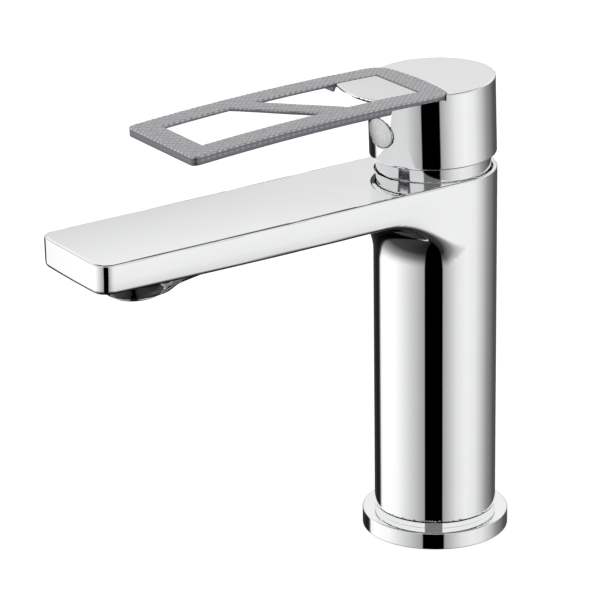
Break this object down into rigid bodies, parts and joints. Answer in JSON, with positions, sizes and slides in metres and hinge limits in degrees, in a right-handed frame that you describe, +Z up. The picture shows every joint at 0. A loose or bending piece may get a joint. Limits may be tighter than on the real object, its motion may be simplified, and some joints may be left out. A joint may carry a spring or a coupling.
{
  "type": "bathroom mixer faucet",
  "caption": "Deck-mounted single-lever basin mixer with a round column, a flat straight spout and an open-framed lever that lifts and swivels.",
  "frame": {"origin": "centre of the base flange's underside, on the deck", "axes": "+Z up along the column, -Y towards the spout's tip, +X to the cold side"},
  "size_m": [0.0506, 0.1663, 0.1627],
  "materials": {
    "chrome": "mirror-polished chrome plating",
    "knurled_metal": "satin grey metal with fine crossed knurling on the top",
    "brass": "machined brass",
    "steel": "plain stainless steel",
    "rubber": "matt black rubber",
    "white_plastic": "satin moulded plastic",
    "blue_plastic": "satin moulded plastic",
    "ceramic": "lapped ceramic",
    "grey_plastic": "satin moulded plastic"
  },
  "bodies": {
    "root": {"faucet_body": "chrome", "base_flange": "chrome", "base_seal": "rubber", "inlet_block": "brass", "hot_inlet_bush": "brass", "cold_inlet_bush": "brass", "cartridge_housing": "white_plastic", "cartridge_base": "white_plastic", "hot_port_seal": "rubber", "cold_port_seal": "rubber", "fixed_ceramic_disc": "ceramic", "cartridge_o_ring": "rubber", "retaining_nut": "brass", "neck_dome": "chrome", "neck_o_ring": "rubber", "aerator_housing": "chrome", "aerator_insert": "grey_plastic", "aerator_screen": "steel", "aerator_washer": "rubber"},
    "swivel": {"cartridge_rotor": "blue_plastic", "hinge_pin": "steel"},
    "lever": {"spindle": "brass", "handle_hub": "chrome", "lever_frame": "knurled_metal", "frame_screw_left": "steel", "frame_screw_right": "steel", "set_screw": "steel", "index_button": "chrome"},
    "disc": {"disc_carrier": "blue_plastic", "moving_ceramic_disc": "ceramic"}
  },
  "joints": [
    {"name": "lever_swivel", "type": "hinge", "parent": "root", "child": "swivel", "pos_m": [0, -0.00041, 0.1213], "axis": [0, -0.0286, 0.9996], "range_deg": [-45, 45]},
    {"name": "lever_lift", "type": "hinge", "parent": "swivel", "child": "lever", "pos_m": [0, -0.00041, 0.1213], "axis": [-1, 0, 0], "range_deg": [0, 20]},
    {"name": "disc_slide", "type": "slide", "parent": "swivel", "child": "disc", "axis": [0, -0.9996, -0.0286], "range_m": [0, 0.003]}
  ],
  "couplings": [
    {"joint": "disc_slide", "follows": "lever_lift", "m_per_rad": 0.0081}
  ]
}
